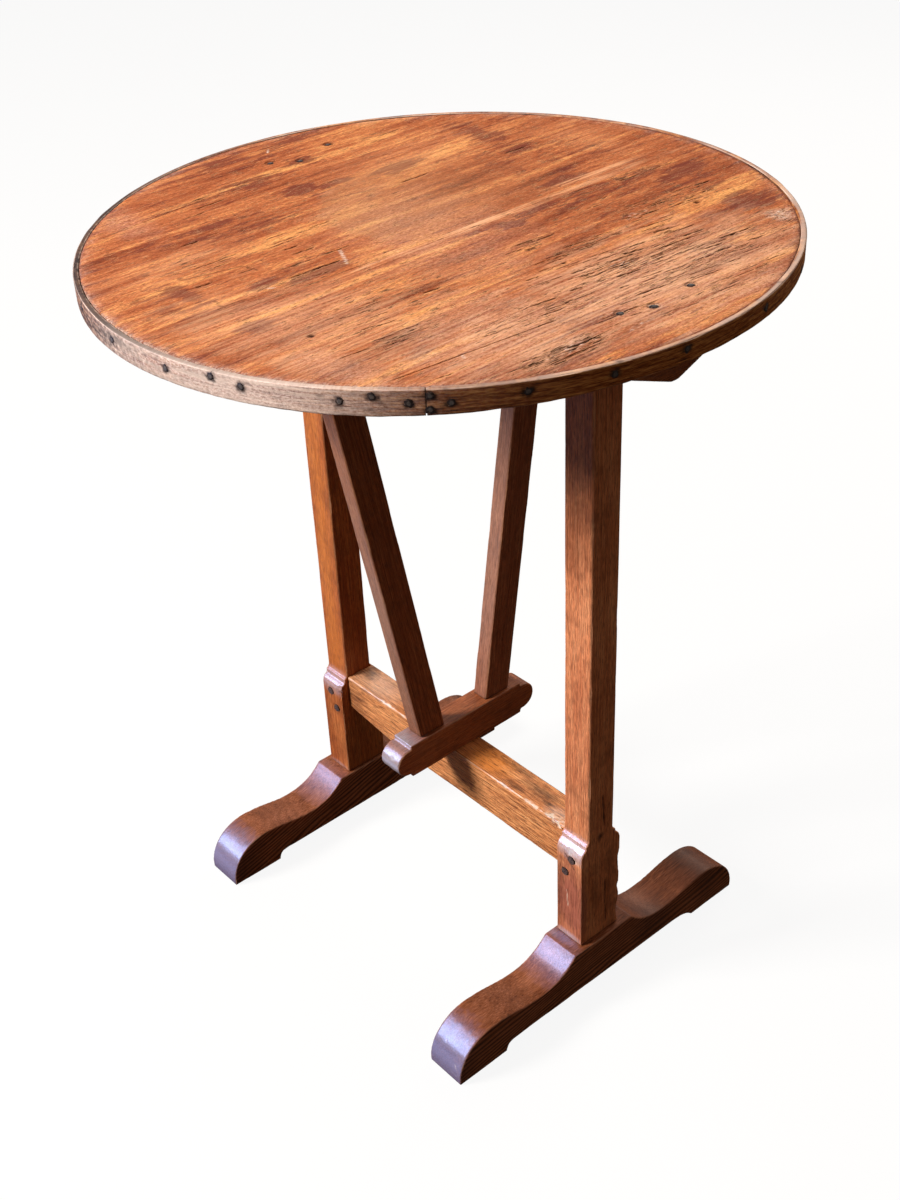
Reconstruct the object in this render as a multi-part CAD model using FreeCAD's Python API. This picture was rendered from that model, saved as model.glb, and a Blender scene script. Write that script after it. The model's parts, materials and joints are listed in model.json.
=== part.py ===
import FreeCAD, Part
import math
import os

# Round wine table on a trestle of two posts, with a swing gate that holds the
# tilting top level. Millimetres. X runs along the stretcher from the left post
# to the right one, Y along the sled feet from front to rear, Z up from the floor.

# Overall
table_h = 720.0
top_d = 581.0

# Bent hoop round the boards
band_t = 5.0
band_h = 19.0
band_round = 1.3
band_proud = 0.6
band_gap = 0.3
butt_angle = -42.7
butt_gap = 0.6

# Boards of the top: each joint as its place on the centre line and its slant
board_gap = 0.4
board_joints = [(-204.5, -0.088), (19.5, 0.01), (205.0, 0.09)]

# Hand-forged hoop nails: angle round the rim and depth below the hoop's top edge
hoop_nails = [
    (-95.4, 9.1), (-82.2, 9.7), (-73.5, 5.0), (-68.5, 7.6), (-54.1, 9.4), (-49.6, 5.0),
    (-44.8, 10.1), (-42.0, 4.8), (-42.0, 15.0), (-39.2, 10.6), (-29.0, 7.8),
    (-16.7, 8.0), (-5.0, 6.5), (12.5, 8.2), (29.5, 13.0),
]
rear_nails = 17
rear_nail_from = 43.0
rear_nail_to = 251.0
rear_nail_depth = 9.0
nail_head_r = 3.6
nail_head_h = 1.2
nail_shank = 2.6
nail_len = 17.0
nail_bed = 0.3

# Pivot cleats under the top, outside each post
cleat_w = 64.0
cleat_len = 160.0
cleat_depth = 32.0
cleat_wing = 10.0
cleat_slope = 0.39
cleat_tip_r = 16.0
cleat_side_gap = 0.5
cleat_nails_right = [(2.0, 47.0), (7.0, 2.0), (-2.0, -23.0)]
cleat_nails_left = [(2.0, 68.0), (-14.0, 24.0), (2.0, 2.0)]
cleat_nail_r = 4.4
cleat_nail_head = 1.6
cleat_nail_sunk = 0.2
cleat_nail_bite = 7.0

# Sled feet
foot_len = 377.0
foot_w = 42.0
foot_h = 60.0
foot_out = 1.5
foot_flat = 77.0
toe_h = 47.5
toe_run = 43.5
toe_front = 6.0
valley_h = 40.0
valley_r = 57.0
pad_len = 60.0
relief_h = 9.5
front_step = 8.0
rear_step = 26.0

# Posts, set in from the hoop's outer edge
post_inset = 113.0
post_w = 32.1
shaft_d = 32.2
mould_out = 9.2
base_h = 110.5
ovolo_h = 8.0
ovolo_in = 6.0
fillet_h = 4.5
cove_h = 3.5
shaft_soft = 1.2
post_tenon_t = 16.0
post_tenon_d = 30.0
post_tenon_len = 38.0
post_top_clear = 1.2

# Stretcher
str_h = 49.5
str_d = 33.6
str_back = 1.5
str_drop = 1.5
str_tenon_t = 12.0
str_tenon_len = 25.0
str_tenon_edge = 1.0
wane_h = 12.0
wane_in = 9.0
wane_len = 86.0
peg_r = 4.0
peg_proud = 0.8
peg_upper = (18.8, 27.0)
peg_lower = (10.7, 8.0)

# Tilt pins and gate pivot
tilt_pin_r = 7.0
tilt_pin_in_cleat = 44.0
gate_pin_r = 7.0
gate_pin_in_stretcher = 34.0
gate_pin_in_bar = 25.0
pin_fit = 0.05
pin_end_gap = 1.0

# Swing gate
gate_x = -3.5
gate_y = 2.5
gate_lift = 0.3
gate_top_gap = 1.3
bar_w = 26.0
bar_h = 37.0
bar_len = 179.0
nose_step = 4.2
nose_neck = 3.2
strut_t = 18.0
strut_w = 31.3
strut_soft = 0.8
front_strut_at = -41.0
rear_strut_at = 43.5
front_lean = -0.182
rear_lean = 0.154
strut_tenon_t = 9.0
strut_tenon_w = 22.0
strut_tenon_len = 20.0
rail_w = 22.0
rail_h = 35.0
rail_len = 296.0
tenon_fit = 0.15

# Levels and places that follow from the sizes above
top_r = top_d / 2
band_in = top_r - band_t
board_r = band_in - band_gap
board_top = table_h - band_proud
under = table_h - band_h
shaft_half = shaft_d / 2
base_half = shaft_half + mould_out
ovolo_z = foot_h + base_h
fillet_z = ovolo_z + ovolo_h
cove_z = fillet_z + fillet_h
shaft_z = cove_z + cove_h
pivot_z = under - shaft_half - post_top_clear
post_x = top_r - post_inset
post_in = post_x - post_w / 2
post_out = post_x + post_w / 2
str_top = shaft_z - str_drop
str_bottom = str_top - str_h
str_front = str_back - str_d / 2
foot_x = post_x + foot_out
cleat_in = post_out + cleat_side_gap
cleat_mid = cleat_in + cleat_w / 2
bar_z = str_top + gate_lift
bar_top = bar_z + bar_h
rail_top = under - gate_top_gap
rail_z = rail_top - rail_h
origin = FreeCAD.Vector(0, 0, 0)
along_x = FreeCAD.Vector(1, 0, 0)
along_y = FreeCAD.Vector(0, 1, 0)
along_z = FreeCAD.Vector(0, 0, 1)


def at(y, z):
    return FreeCAD.Vector(0, y, z)


def line(a, b):
    return Part.LineSegment(at(*a), at(*b)).toShape()


def arc(a, mid, b):
    return Part.Arc(at(*a), at(*mid), at(*b)).toShape()


def ogee(*poles):
    curve = Part.BezierCurve()
    curve.setPoles([at(*p) for p in poles])
    return curve.toShape()


def path(*points):
    return [line(a, b) for a, b in zip(points, points[1:])]


def prism(edges, x_mid, width):
    face = Part.Face(Part.Wire(edges))
    face.translate(FreeCAD.Vector(x_mid - width / 2, 0, 0))
    return face.extrude(FreeCAD.Vector(width, 0, 0))


def block(x0, x1, y0, y1, z0, z1):
    return Part.makeBox(x1 - x0, y1 - y0, z1 - z0, FreeCAD.Vector(x0, y0, z0))


def rod(r, start, length, direction):
    return Part.makeCylinder(r, length, start, direction)


def mirrored(shape):
    return shape.mirror(origin, along_x)


# Eased arrises: chamfers on the chosen edges
def soften(shape, size, wanted):
    return shape.makeChamfer(size, [e for e in shape.Edges if wanted(e)])


def upright(edge, floor):
    across = abs(edge.tangentAt(edge.FirstParameter).x) > 0.01
    return not across and edge.BoundBox.ZMax > floor + 1


def polygon_ring(sides, r, z):
    turn = math.pi / sides
    step = 2 * math.pi / sides
    angles = [turn + i * step for i in range(sides)]
    pts = [FreeCAD.Vector(r * math.cos(a), r * math.sin(a), z) for a in angles]
    return Part.makePolygon(pts + [pts[0]])


def shank(side, length):
    corner = side / math.sqrt(2)
    wires = [polygon_ring(4, corner, 0), polygon_ring(4, 0.4 * corner, -length)]
    return Part.makeLoft(wires, True, True)


def rose_nail():
    wires = [polygon_ring(8, nail_head_r, 0), polygon_ring(8, 0.4 * nail_head_r, nail_head_h)]
    head = Part.makeLoft(wires, True, True)
    return head.fuse(shank(nail_shank, nail_len)).removeSplitter()


def flush_nail(length):
    wires = [polygon_ring(8, cleat_nail_r, 0), polygon_ring(8, cleat_nail_r, cleat_nail_head)]
    head = Part.makeLoft(wires, True, True)
    return head.fuse(shank(nail_shank, length)).removeSplitter()


# Hoop nails stand radially in the hoop, heads bedded in it, and bite into the boards
def rim_nails():
    step = (rear_nail_to - rear_nail_from) / (rear_nails - 1)
    places = hoop_nails + [(rear_nail_from + i * step, rear_nail_depth) for i in range(rear_nails)]
    nails = []
    for angle, depth in places:
        nail = rose_nail()
        nail.rotate(origin, along_y, 90)
        nail.translate(FreeCAD.Vector(top_r - nail_bed, 0, table_h - depth))
        nail.rotate(origin, along_z, angle)
        nails.append(nail)
    return nails


# Cleat nails go down through the boards, their heads just below the surface
def cleat_nails():
    head_z = board_top - cleat_nail_sunk - cleat_nail_head
    places = [(cleat_mid + dx, y) for dx, y in cleat_nails_right]
    places += [(-cleat_mid - dx, y) for dx, y in cleat_nails_left]
    nails = []
    for x, y in places:
        nail = flush_nail(head_z - under + cleat_nail_bite)
        nail.translate(FreeCAD.Vector(x, y, head_z))
        nails.append(nail)
    return nails


# The hoop is one strip bent round and butted at the front
def rim_band(nails):
    r = band_round
    s = r * (1 - math.sqrt(0.5))
    edges = path((band_in, table_h), (band_in, under), (top_r - r, under))
    edges.append(arc((top_r - r, under), (top_r - s, under + s), (top_r, under + r)))
    edges += path((top_r, under + r), (top_r, table_h - r))
    edges.append(arc((top_r, table_h - r), (top_r - s, table_h - s), (top_r - r, table_h)))
    edges += path((top_r - r, table_h), (band_in, table_h))
    gap_turn = math.degrees(butt_gap / top_r)
    strip = Part.Face(Part.Wire(edges)).revolve(origin, along_z, 360 - gap_turn)
    strip.rotate(origin, along_z, butt_angle - 90 + gap_turn / 2)
    return strip.cut(nails)


# Each board is the disc between two slanted joints
def boards(nails):
    disc = rod(board_r, FreeCAD.Vector(0, 0, under), board_top - under, along_z)
    reach = top_r
    walls = [(-2 * top_r, 0.0)] + board_joints + [(2 * top_r, 0.0)]
    pieces = []
    for (xa, sa), (xb, sb) in zip(walls, walls[1:]):
        xa = xa + board_gap / 2
        xb = xb - board_gap / 2
        front = [(xa - sa * reach, -reach), (xb - sb * reach, -reach)]
        rear = [(xb + sb * reach, reach), (xa + sa * reach, reach)]
        pts = [FreeCAD.Vector(x, y, under) for x, y in front + rear]
        face = Part.Face(Part.makePolygon(pts + [pts[0]]))
        slab = face.extrude(FreeCAD.Vector(0, 0, board_top - under))
        pieces.append(disc.common(slab).cut(nails))
    return pieces


# A cleat is deepest at its middle, where the tilt pin turns, and slopes both ways to thin wings
def cleat():
    half = cleat_len / 2
    low = under - cleat_depth
    wing = under - cleat_wing
    lean = math.atan(cleat_slope)
    tip_y = cleat_tip_r * math.sin(lean)
    tip_z = low + cleat_tip_r * (1 - math.cos(lean))
    wing_y = tip_y + (wing - tip_z) / cleat_slope
    edges = path((tip_y, tip_z), (wing_y, wing), (half, wing), (half, under), (-half, under))
    edges += path((-half, under), (-half, wing), (-wing_y, wing), (-tip_y, tip_z))
    edges.append(arc((-tip_y, tip_z), (0, low), (tip_y, tip_z)))
    body = prism(edges, cleat_mid, cleat_w)
    depth = tilt_pin_in_cleat + pin_end_gap
    return body.cut(rod(tilt_pin_r + pin_fit, FreeCAD.Vector(cleat_in, 0, pivot_z), depth, along_x))


# Foot profile: rounded toe, shallow hollow, a cove up to the flat, and a relief between two pads
def foot():
    end = foot_len / 2
    flat = foot_flat / 2
    toe = end - toe_run
    rise = foot_h - valley_h
    valley = flat + math.sqrt(valley_r ** 2 - (valley_r - rise) ** 2)
    cove_y = (valley + flat) / 2
    cove_mid = valley_h + valley_r - math.sqrt(valley_r ** 2 - (valley - cove_y) ** 2)
    toe_rise = toe_h - toe_front
    pull = 0.4 * (toe - valley)

    def half(side):
        quarter = 0.5523
        return [
            line((side * end, 0), (side * end, toe_front)),
            ogee((side * end, toe_front), (side * end, toe_front + quarter * toe_rise),
                 (side * (toe + quarter * toe_run), toe_h), (side * toe, toe_h)),
            ogee((side * toe, toe_h), (side * (toe - pull), toe_h),
                 (side * (valley + pull), valley_h), (side * valley, valley_h)),
            arc((side * valley, valley_h), (side * cove_y, cove_mid), (side * flat, foot_h)),
        ]

    pad = end - pad_len
    edges = half(-1) + [line((-flat, foot_h), (flat, foot_h))] + half(1)
    edges += path((end, 0), (pad, 0))
    edges.append(ogee((pad, 0), (pad - 0.3 * rear_step, relief_h), (pad - rear_step, relief_h)))
    edges += path((pad - rear_step, relief_h), (-pad + front_step, relief_h))
    edges.append(ogee((-pad + front_step, relief_h), (-pad, relief_h), (-pad, 0)))
    edges += path((-pad, 0), (-end, 0))
    body = prism(Part.__sortEdges__(edges), foot_x, foot_w)
    t = post_tenon_t / 2 + tenon_fit
    d = post_tenon_d / 2 + tenon_fit
    return body.cut(block(post_x - t, post_x + t, -d, d, foot_h - post_tenon_len - pin_end_gap, foot_h))


def post():
    edges = []
    for s in (-1, 1):
        out = s * base_half
        step = s * (base_half - ovolo_in)
        neck = s * shaft_half
        bulge = (out * 0.35 + step * 0.65 + s * 1.6, ovolo_z + 0.6 * ovolo_h + 0.6)
        hollow = (step * 0.35 + neck * 0.65, cove_z + 0.35 * cove_h)
        edges += path((out, foot_h), (out, ovolo_z))
        edges.append(arc((out, ovolo_z), bulge, (step, fillet_z)))
        edges += path((step, fillet_z), (step, cove_z))
        edges.append(arc((step, cove_z), hollow, (neck, shaft_z)))
    edges.append(line((-shaft_half, shaft_z), (shaft_half, shaft_z)))
    edges.append(line((-base_half, foot_h), (base_half, foot_h)))
    base = prism(Part.__sortEdges__(edges), post_x, post_w)
    sides = path((-shaft_half, pivot_z), (-shaft_half, shaft_z))
    sides += path((-shaft_half, shaft_z), (shaft_half, shaft_z), (shaft_half, pivot_z))
    crown = arc((shaft_half, pivot_z), (0, pivot_z + shaft_half), (-shaft_half, pivot_z))
    shaft = soften(prism(sides + [crown], post_x, post_w), shaft_soft, lambda e: upright(e, shaft_z))
    t = post_tenon_t / 2
    d = post_tenon_d / 2
    stub = block(post_x - t, post_x + t, -d, d, foot_h - post_tenon_len, foot_h)
    body = shaft.fuse([base, stub]).removeSplitter()
    holes = [tenon(str_tenon_len + pin_end_gap, tenon_fit)]
    holes += [peg(place, pin_fit, 0) for place in (peg_upper, peg_lower)]
    holes.append(rod(tilt_pin_r + pin_fit, FreeCAD.Vector(post_in, 0, pivot_z), post_w, along_x))
    return body.cut(holes)


# Stretcher tenon in the right post, grown by a clearance for its mortise
def tenon(length, grow):
    t = str_tenon_t / 2 + grow
    z0 = str_bottom + str_tenon_edge - grow
    z1 = str_top - str_tenon_edge + grow
    return block(post_in, post_in + length, str_back - t, str_back + t, z0, z1)


# Draw-bore peg through the right post and its tenon, from the front face to the rear one
def peg(place, grow, proud):
    x = post_in + place[0]
    z = str_bottom + place[1]
    return rod(peg_r + grow, FreeCAD.Vector(x, -base_half - proud, z), 2 * base_half + proud, along_y)


def stretcher():
    body = block(-post_in, post_in, str_front, str_front + str_d, str_bottom, str_top)
    right = tenon(str_tenon_len, 0).cut([peg(place, pin_fit, 0) for place in (peg_upper, peg_lower)])
    body = body.fuse([right, mirrored(right)])
    corner = FreeCAD.Vector(-post_in, str_front, str_bottom)
    up = corner + FreeCAD.Vector(0, 0, wane_h)
    back = corner + FreeCAD.Vector(0, wane_in, 0)
    far = corner + FreeCAD.Vector(wane_len, 0, 0)
    sides = [(corner, up, back), (corner, back, far), (corner, far, up), (up, far, back)]
    faces = [Part.Face(Part.makePolygon([a, b, c, a])) for a, b, c in sides]
    wane = Part.Solid(Part.Shell(faces))
    depth = gate_pin_in_stretcher + pin_end_gap
    hole = rod(gate_pin_r + pin_fit, FreeCAD.Vector(gate_x, gate_y, str_top), depth, -along_z)
    return body.cut([wane, hole])


def pegs():
    right = [peg(place, 0, peg_proud) for place in (peg_upper, peg_lower)]
    return right + [mirrored(p) for p in right]


def tilt_pin():
    start = FreeCAD.Vector(post_in, 0, pivot_z)
    return rod(tilt_pin_r, start, post_w + cleat_side_gap + tilt_pin_in_cleat, along_x)


def gate_pin():
    start = FreeCAD.Vector(gate_x, gate_y, str_top - gate_pin_in_stretcher)
    return rod(gate_pin_r, start, gate_pin_in_stretcher + gate_lift + gate_pin_in_bar, along_z)


# A leaning strut between two levels, or its tenon, as a slanted prism in the gate's plane
def leaning(mid, lean, z0, z1, width, thick):
    def y_at(z):
        return gate_y + mid + lean * (z - bar_top)
    w = width / 2
    points = [(y_at(z0) - w, z0), (y_at(z0) + w, z0), (y_at(z1) + w, z1), (y_at(z1) - w, z1)]
    return prism(path(*(points + points[:1])), gate_x, thick)


def strut_tenons(mid, lean, grow):
    w = strut_tenon_w + 2 * grow
    t = strut_tenon_t + 2 * grow
    reach = strut_tenon_len + (pin_end_gap if grow else 0)
    lower = leaning(mid, lean, bar_top - reach, bar_top, w, t)
    upper = leaning(mid, lean, rail_z, rail_z + reach, w, t)
    return [lower, upper]


def strut(mid, lean):
    body = leaning(mid, lean, bar_top, rail_z, strut_w, strut_t)
    body = soften(body, strut_soft, lambda e: e.BoundBox.ZLength > strut_w)
    return body.fuse(strut_tenons(mid, lean, 0))


# Bar profile with a round nose set back by a small step at each end
def nosed(length, z0, height):
    nose_r = height / 2 - nose_step
    neck = length / 2 - nose_r
    body = neck - nose_neck
    low = z0 + nose_step
    high = z0 + height - nose_step
    edges = path((-body, z0), (body, z0), (body, low), (neck, low))
    edges.append(arc((neck, low), (length / 2, z0 + height / 2), (neck, high)))
    edges += path((neck, high), (body, high), (body, z0 + height))
    edges += path((body, z0 + height), (-body, z0 + height), (-body, high), (-neck, high))
    edges.append(arc((-neck, high), (-length / 2, z0 + height / 2), (-neck, low)))
    edges += path((-neck, low), (-body, low), (-body, z0))
    return edges


def gate_bar(length, z0, height, width, which):
    body = prism(nosed(length, z0, height), gate_x, width)
    body.translate(FreeCAD.Vector(0, gate_y, 0))
    mortises = [strut_tenons(mid, lean, tenon_fit)[which] for mid, lean in struts]
    return body.cut(mortises)


def save(name, shapes):
    shape = shapes[0] if len(shapes) == 1 else Part.makeCompound(shapes)
    shape.exportStep(os.path.join("parts", name + ".step"))
    print(name, len(shape.Solids), "solid(s)", round(shape.Volume / 1000, 2), "cm3", shape.isValid())


struts = [(front_strut_at, front_lean), (rear_strut_at, rear_lean)]
hoop = rim_nails()
flush = cleat_nails()
right_cleat = cleat().cut(flush)
left_cleat = mirrored(cleat()).cut(flush)
right_post = post()
right_foot = foot()
right_pin = tilt_pin()
bottom_bar = gate_bar(bar_len, bar_z, bar_h, bar_w, 0)
pivot_depth = gate_pin_in_bar + pin_end_gap
pivot_hole = rod(gate_pin_r + pin_fit, FreeCAD.Vector(gate_x, gate_y, bar_z), pivot_depth, along_z)

for number, board in enumerate(boards(hoop + flush), 1):
    save("top_board_%d" % number, [board])
save("rim_band", [rim_band(hoop)])
save("rim_nails", hoop)
save("left_cleat", [left_cleat])
save("right_cleat", [right_cleat])
save("cleat_nails", flush)
save("left_foot", [mirrored(right_foot)])
save("right_foot", [right_foot])
save("left_post", [mirrored(right_post)])
save("right_post", [right_post])
save("stretcher", [stretcher()])
save("stretcher_pegs", pegs())
save("left_tilt_pin", [mirrored(right_pin)])
save("right_tilt_pin", [right_pin])
save("gate_pivot_pin", [gate_pin()])
save("gate_bottom_bar", [bottom_bar.cut(pivot_hole)])
save("gate_front_strut", [strut(*struts[0])])
save("gate_rear_strut", [strut(*struts[1])])
save("gate_top_rail", [gate_bar(rail_len, rail_z, rail_h, rail_w, 1)])
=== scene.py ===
import bpy
import json
import math
import random
import numpy as np
from functools import partial
from mathutils import Matrix, Vector, noise

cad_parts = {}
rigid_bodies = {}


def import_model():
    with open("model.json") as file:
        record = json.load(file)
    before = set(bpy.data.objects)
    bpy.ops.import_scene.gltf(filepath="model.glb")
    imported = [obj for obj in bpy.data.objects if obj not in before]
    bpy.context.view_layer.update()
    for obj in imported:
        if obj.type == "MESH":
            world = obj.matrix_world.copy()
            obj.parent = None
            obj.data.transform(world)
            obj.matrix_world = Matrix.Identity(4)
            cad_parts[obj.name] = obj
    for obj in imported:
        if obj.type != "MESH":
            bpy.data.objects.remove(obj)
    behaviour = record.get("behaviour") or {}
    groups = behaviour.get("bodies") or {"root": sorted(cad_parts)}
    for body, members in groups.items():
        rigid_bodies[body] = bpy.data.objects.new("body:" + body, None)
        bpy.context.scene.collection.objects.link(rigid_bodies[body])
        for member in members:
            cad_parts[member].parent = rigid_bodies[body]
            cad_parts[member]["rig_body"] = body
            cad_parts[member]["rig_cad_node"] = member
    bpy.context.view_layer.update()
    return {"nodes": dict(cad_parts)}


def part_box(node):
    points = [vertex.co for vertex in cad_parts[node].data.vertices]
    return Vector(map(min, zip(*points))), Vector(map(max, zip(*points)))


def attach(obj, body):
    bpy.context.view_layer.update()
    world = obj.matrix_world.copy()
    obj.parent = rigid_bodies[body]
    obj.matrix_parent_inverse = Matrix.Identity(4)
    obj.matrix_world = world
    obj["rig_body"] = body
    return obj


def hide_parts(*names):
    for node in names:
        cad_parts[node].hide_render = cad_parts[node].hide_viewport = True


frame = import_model()
nodes = frame["nodes"]
mm = 0.001
dice = random.Random(12)
print("frame loaded:", len(nodes), "nodes")


# sRGB hex to the linear colour that shaders want
def hexColour(code):
    parts = [int(code[i:i + 2], 16) / 255 for i in (1, 3, 5)]
    return [c / 12.92 if c <= 0.04045 else ((c + 0.055) / 1.055) ** 2.4 for c in parts] + [1]


# one node with its settings (or socket values, or ramp stops) and its incoming links;
# a node given as a link stands for the first output that it uses
def addNode(tree, kind, settings=None, links=None):
    node = tree.nodes.new("ShaderNode" + kind)
    for key, value in (settings or {}).items():
        if key == "stops":
            while len(node.color_ramp.elements) < len(value):
                node.color_ramp.elements.new(0.5)
            for element, (place, colour) in zip(node.color_ramp.elements, value):
                element.position = place
                element.color = hexColour(colour)
        elif isinstance(key, str) and hasattr(node, key):
            setattr(node, key, value)
        else:
            node.inputs[key].default_value = value
    for key, source in (links or {}).items():
        if isinstance(source, bpy.types.Node):
            source = next(socket for socket in source.outputs if socket.enabled)
        tree.links.new(source, node.inputs[key])
    return node


# a material, and addNode for its own tree
def newMaterial(name):
    material = bpy.data.materials.new(name)
    material.use_nodes = True
    material.node_tree.nodes.clear()
    return material, partial(addNode, material.node_tree)


# noise drawn out along the grain: its size along each axis and its shift, both in mm, then how fine it is
def grainTexture(add, spot, size, shift, detail, rough, bent=0.0, tilt=0.0):
    mapped = add("Mapping", {"vector_type": "TEXTURE", "Location": [s * mm for s in shift],
                             "Rotation": (tilt, 0, 0), "Scale": [s * mm for s in size]}, {"Vector": spot})
    return add("TexNoise", {"Scale": 1, "Detail": detail, "Roughness": rough, "Distortion": bent},
               {"Vector": mapped})


# what every surface ends with: coats of colour, a roughness between two values and a relief of some mm
def finishMaterial(add, settings, colour, coats, rough, relief, links=None):
    for mask, coat in coats:
        colour = add("Mix", {"data_type": "RGBA", 7: hexColour(coat)}, {0: mask, 6: colour})
    pattern, least, most = rough
    height, strength, depth = relief
    roughness = add("MapRange", {"To Min": least, "To Max": most}, {"Value": pattern})
    bump = add("Bump", {"Strength": strength, "Distance": depth * mm}, {"Height": height})
    shader = add("BsdfPrincipled", settings, {
        "Base Color": colour, "Roughness": roughness, "Normal": bump, **(links or {})})
    add("OutputMaterial", {}, {"Surface": shader})


def selectOnly(piece):
    bpy.ops.object.select_all(action="DESELECT")
    piece.select_set(True)
    bpy.context.view_layer.objects.active = piece


# into edit mode with all of the mesh selected, or none of it
def openMesh(action):
    bpy.ops.object.mode_set(mode="EDIT")
    bpy.ops.mesh.select_all(action=action)


def shutMesh():
    bpy.ops.object.mode_set(mode="OBJECT")


def applyModifier(piece, kind, **settings):
    modifier = piece.modifiers.new(kind.title(), kind)
    for key, value in settings.items():
        setattr(modifier, key, value)
    selectOnly(piece)
    bpy.ops.object.modifier_apply(modifier=modifier.name)


def readPoints(mesh, what):
    flat = np.empty(len(mesh.vertices) * 3, np.float32)
    mesh.vertices.foreach_get(what, flat)
    return flat.reshape(-1, 3).astype(float)


def writePoints(mesh, points):
    mesh.vertices.foreach_set("co", points.astype(np.float32).ravel())
    mesh.update()


# numbers from 0 to 1 for each vertex, which a material reads by name
def paint(mesh, **layers):
    for name, values in layers.items():
        layer = mesh.attributes.new(name, "FLOAT", "POINT")
        layer.data.foreach_set("value", clamp(values).astype(np.float32))


def clamp(values):
    return np.clip(values, 0, 1)


# smooth noise, about -1 to 1, with its own feature size in mm along each axis
def grainNoise(points, size, seed=0.0):
    scaled = points / (np.array(size) * mm) + seed
    return np.array([noise.noise(p) for p in scaled.tolist()])


# 1 on an arris, where the surface is halfway between two sides, and 0 on the flat
def arrisMask(flat, start):
    return clamp(1.42 * np.minimum(flat, np.sqrt(clamp(1 - flat ** 2))) - start)


# distance from a spot, where 1 is its reach in mm
def spotAway(place, spot, reach):
    return np.linalg.norm((place - np.array(spot) * mm) / (np.array(reach) * mm), axis=1)


# spots that fade out round their places, with an uneven edge
def spotMask(place, spots, full, uneven):
    mask = np.zeros(len(place))
    for spot, reach, strength in spots:
        mask = np.maximum(mask, strength * clamp(full - spotAway(place, spot, reach) + uneven))
    return mask


def finishPiece(piece, name, material, body, slot, *replaced):
    piece.name = piece.data.name = name
    piece.data.materials.clear()
    piece.data.materials.append(material)
    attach(piece, body)
    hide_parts(*replaced)


# Waxed walnut, sawn and planed by hand: growth lines along the grain, short dark pores, dirt in patches,
# rubbed pale arrises, a wax gloss that picks up the window, and a painted bluish sheen with some scuffing where it is
# polished
def waxedWalnut(name, look):
    material, add = newMaterial(name)
    spot = add("TexCoord").outputs["Object"]
    sawn, tint, rubbed, bare, polish, grime = (
        add("Attribute", {"attribute_name": part}).outputs["Fac"]
        for part in ("sawn", "tint", "rubbed", "bare", "polish", "grime"))
    band = look["band"]
    tilt = look["tilt"] - math.atan(look["lean"])
    noises = []
    # width and length along the grain in mm, then detail and roughness
    for width, length, detail, rough in ((9 * band, 45 * band, 2, 0.5), (0.8, 60, 3, 0.6), (0.5, 12, 1, 0.5),
                                         (22, 90, 3, 0.6), (0.9, 7, 2, 0.7)):
        size = [length if axis == look["grain"] else width for axis in "XYZ"]
        noises.append(grainTexture(add, spot, size, look["shift"], detail, rough, tilt=tilt))
    growth, fibres, pores, cloud, speck = noises
    blotch = add("TexNoise", {"Scale": 1 / (40 * mm), "Detail": 4, "Roughness": 0.62}, {"Vector": spot})
    mapped = add("Mapping", {"vector_type": "TEXTURE", "Location": [s * mm for s in look["shift"]],
                             "Rotation": (tilt, 0, 0), "Scale": [band * mm] * 3}, {"Vector": spot})
    layers = add("SeparateXYZ", {}, {"Vector": mapped})
    wander = add("Math", {"operation": "MULTIPLY_ADD", 1: 7.0}, {0: growth, 2: layers.outputs[look["cross"]]})
    turns = add("Math", {"operation": "MULTIPLY", 1: 2 * math.pi}, {0: wander})
    rings = add("Math", {"operation": "SINE"}, {0: turns})
    drawn = add("Math", {"operation": "MULTIPLY"}, {0: rings, 1: sawn})
    ringed = add("Math", {"operation": "MULTIPLY_ADD", 1: look["rings"]}, {0: drawn, 2: fibres})
    figure = add("Math", {"operation": "MULTIPLY_ADD", 1: 0.5}, {0: cloud, 2: ringed})
    # each takes a noise between two values to between two others
    tone, shade, fleck, pored, dirtAndShade = (
        add("MapRange", {"From Min": start, "From Max": end, "To Min": least, "To Max": most}, {"Value": source})
        for source, start, end, least, most in (
            (figure, 0.45, 1.02, 0, 1), (speck, 0.3, 0.7, 0.72, 1.25), (speck, 0.36, 0.64, 0.72, 1.25),
            (pores, 0.57, 0.64, 0, look["pores"]), (blotch, 0.52, 0.74, 0, look["dirtAndShade"])))
    wood = add("ValToRGB", {"stops": [(0.0, look["dark"]), (0.45, look["mid"]), (1.0, look["pale"])]},
               {"Fac": tone})
    wood = add("Mix", {"data_type": "RGBA", "blend_type": "MULTIPLY", 0: 1.0}, {6: wood, 7: shade})
    # where it is polished: the weight of the wax coat, and a painted sheen mixed into the colour
    buffedAndSheen = add("Math", {"operation": "MULTIPLY"}, {0: polish, 1: fleck})
    scuffAndSheen = add("Math", {"operation": "MULTIPLY", 1: look["scuffAndSheen"], "use_clamp": True}, {0: buffedAndSheen})
    # the sheen coat is a painted reflection of the window, with some scuffing, laid over the wood's colour
    coats = [(tint, look["tint"]), (pored, look["pore"]), (dirtAndShade, look["soil"]), (rubbed, look["rubbed"]),
             (bare, look["bare"]), (scuffAndSheen, look["scuffAndSheenColour"]), (grime, look["grime"])]
    shine = add("MapRange", {"To Min": look["wax"], "To Max": look["shine"]}, {"Value": buffedAndSheen})
    height = add("Math", {"operation": "SUBTRACT"}, {0: fibres, 1: pored})
    finishMaterial(add, {"Coat Roughness": look["gloss"], "Coat IOR": 1.6, "Specular IOR Level": 0.1}, wood, coats,
                   (blotch, look["rough"], look["rough"] + 0.2), (height, 0.6, 0.5), {"Coat Weight": shine})
    return material


# a copy of a CAD node to work on, its loose triangles merged
def copyNode(nodeName):
    selectOnly(nodes[nodeName])
    bpy.ops.object.duplicate()
    piece = bpy.context.active_object
    piece.parent = None
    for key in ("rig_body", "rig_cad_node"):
        del piece[key]
    openMesh("SELECT")
    bpy.ops.mesh.remove_doubles(threshold=0.005 * mm)
    shutMesh()
    return piece


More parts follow.
